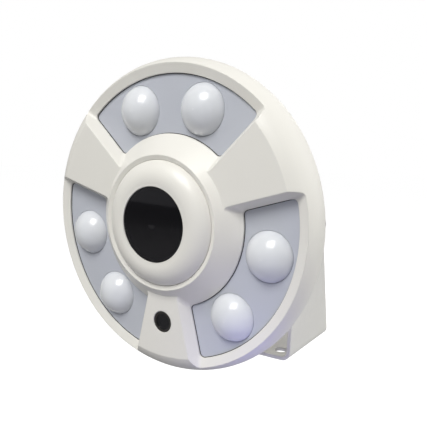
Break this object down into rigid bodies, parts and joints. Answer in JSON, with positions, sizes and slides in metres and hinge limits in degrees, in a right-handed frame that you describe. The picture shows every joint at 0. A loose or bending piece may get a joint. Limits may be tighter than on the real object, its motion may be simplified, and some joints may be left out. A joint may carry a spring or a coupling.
{
  "type": "floodlight security camera",
  "caption": "Round wall or ceiling security camera with a fisheye lens in the middle, domed floodlight lamps around it and a tilting yoke bracket.",
  "frame": {"origin": "middle of the yoke's mounting face, in the plane that touches the wall or ceiling", "axes": "+Z from the mounting face to the head, -Y the way the lens looks at rest, X along the tilt axis"},
  "size_m": [0.16, 0.0854, 0.16],
  "materials": {
    "shell_white": "satin moulded white",
    "coated_steel": "white powder coat",
    "dark_window": "dark tinted, polished",
    "black_plastic": "fine matt",
    "black_metal": "black anodised",
    "lens_glass": "coated lens",
    "filter_red": "infrared cut coating",
    "filter_clear": "clear",
    "circuit_green": "solder mask",
    "sensor_chip": "cover glass",
    "lamp_board_white": "white solder mask",
    "aluminium": "brushed",
    "eye_black": "gloss",
    "photocell_tan": "ceramic face",
    "seal_rubber": "soft",
    "plug_rubber": "soft white",
    "chip_black": "moulded chip",
    "shield_can": "tinned",
    "ribbon_white": "flat lead",
    "antenna_film": "film",
    "gland_nylon": "nylon",
    "button_grey": "satin",
    "screw_steel": "zinc plated",
    "bolt_steel": "stainless",
    "brass": "turned",
    "capacitor_can": "sleeved can",
    "connector_ivory": "moulded",
    "washer_nylon": "nylon",
    "lamp_phosphor": "phosphor",
    "panel_blue_grey": "pale blue grey, satin",
    "dome_milk": "milky, polished"
  },
  "bodies": {
    "bracket": {"yoke": "coated_steel"},
    "head": {"antenna": "antenna_film", "board_screws": "screw_steel", "camera_ribbon": "ribbon_white", "camera_screws": "screw_steel", "capacitors": "capacitor_can", "card_plug": "plug_rubber", "card_socket": "shield_can", "case_screws": "screw_steel", "case_seal": "seal_rubber", "centre_cap": "shell_white", "connectors": "connector_ivory", "dome_lens_1": "dome_milk", "dome_lens_2": "dome_milk", "dome_lens_3": "dome_milk", "dome_lens_4": "dome_milk", "dome_lens_5": "dome_milk", "dome_lens_6": "dome_milk", "eye_glass": "dark_window", "eye_ring": "eye_black", "filter_motor": "black_plastic", "flat_washers": "bolt_steel", "friction_washers": "washer_nylon", "front_bezel": "shell_white", "front_lens": "lens_glass", "front_window": "dark_window", "gland_body": "gland_nylon", "gland_locknut": "gland_nylon", "gland_nut": "gland_nylon", "gland_seal": "seal_rubber", "heat_sink": "aluminium", "heat_spreader": "aluminium", "image_sensor": "sensor_chip", "lamp_arrays": "lamp_phosphor", "lamp_board": "lamp_board_white", "lamp_panel_1": "panel_blue_grey", "lamp_panel_2": "panel_blue_grey", "lamp_panel_3": "panel_blue_grey", "lamp_screws": "screw_steel", "lens_barrel": "black_metal", "lens_holder": "black_plastic", "lens_ring": "black_metal", "lens_shroud": "black_plastic", "main_board": "circuit_green", "photocell": "photocell_tan", "pivot_bolts": "bolt_steel", "processor": "chip_black", "rear_housing": "shell_white", "rear_lens": "lens_glass", "reset_switch": "black_plastic", "sensor_board": "circuit_green", "spring_washers": "bolt_steel", "standoffs": "brass", "threaded_inserts": "brass", "wireless_module": "shield_can"},
    "filter": {"filter_slide": "black_plastic", "infrared_filter": "filter_red", "clear_filter": "filter_clear"},
    "button": {"reset_button": "button_grey"}
  },
  "joints": [
    {"name": "head_tilt", "type": "hinge", "parent": "bracket", "child": "head", "pos_m": [0, -0.0066, 0.068], "axis": [-1, 0, 0], "range_deg": [-4, 90]},
    {"name": "filter_shift", "type": "slide", "parent": "head", "child": "filter", "axis": [-1, 0, 0], "range_m": [0, 0.0084]},
    {"name": "reset_press", "type": "slide", "parent": "head", "child": "button", "axis": [0, -1, 0], "range_m": [0, 0.0008], "stiffness_N_per_m": 600, "springref_m": -0.0005}
  ]
}
